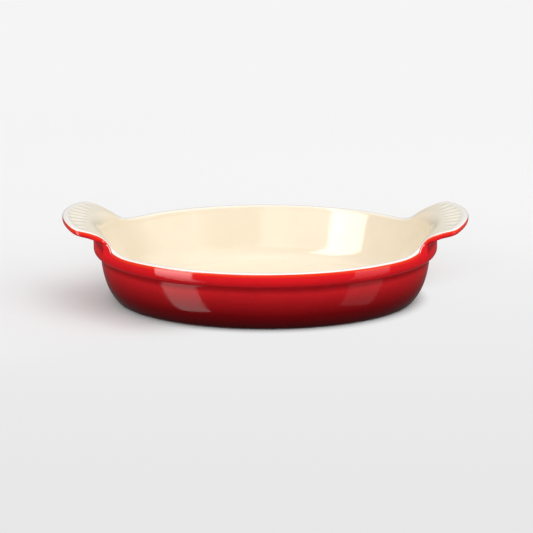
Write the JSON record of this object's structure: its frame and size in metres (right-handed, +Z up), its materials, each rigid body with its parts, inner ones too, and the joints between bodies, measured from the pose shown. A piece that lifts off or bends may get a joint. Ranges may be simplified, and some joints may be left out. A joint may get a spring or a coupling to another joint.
{
  "type": "gratin dish",
  "caption": "Oval stoneware gratin dish with a rolled collar, rising fluted handles, cream glaze inside and shaded red glaze outside.",
  "frame": {"origin": "centre of the dish's plan, at the table plane under the foot ring", "axes": "+X through both handles, the longest extent; +Z up; +Y across the dish"},
  "size_m": [0.32, 0.1994, 0.0704],
  "materials": {
    "fired_clay": "bare fired clay, matt and slightly rough",
    "cream_glaze": "glossy cream glaze",
    "red_glaze": "glossy red glaze, bright at the collar and darkening to nearly black red at the foot",
    "base_glaze": "thin satin glaze over the clay"
  },
  "bodies": {
    "root": {"stoneware_body": "fired_clay", "interior_glaze": "cream_glaze", "exterior_glaze": "red_glaze", "base_glaze": "base_glaze"}
  },
  "joints": []
}
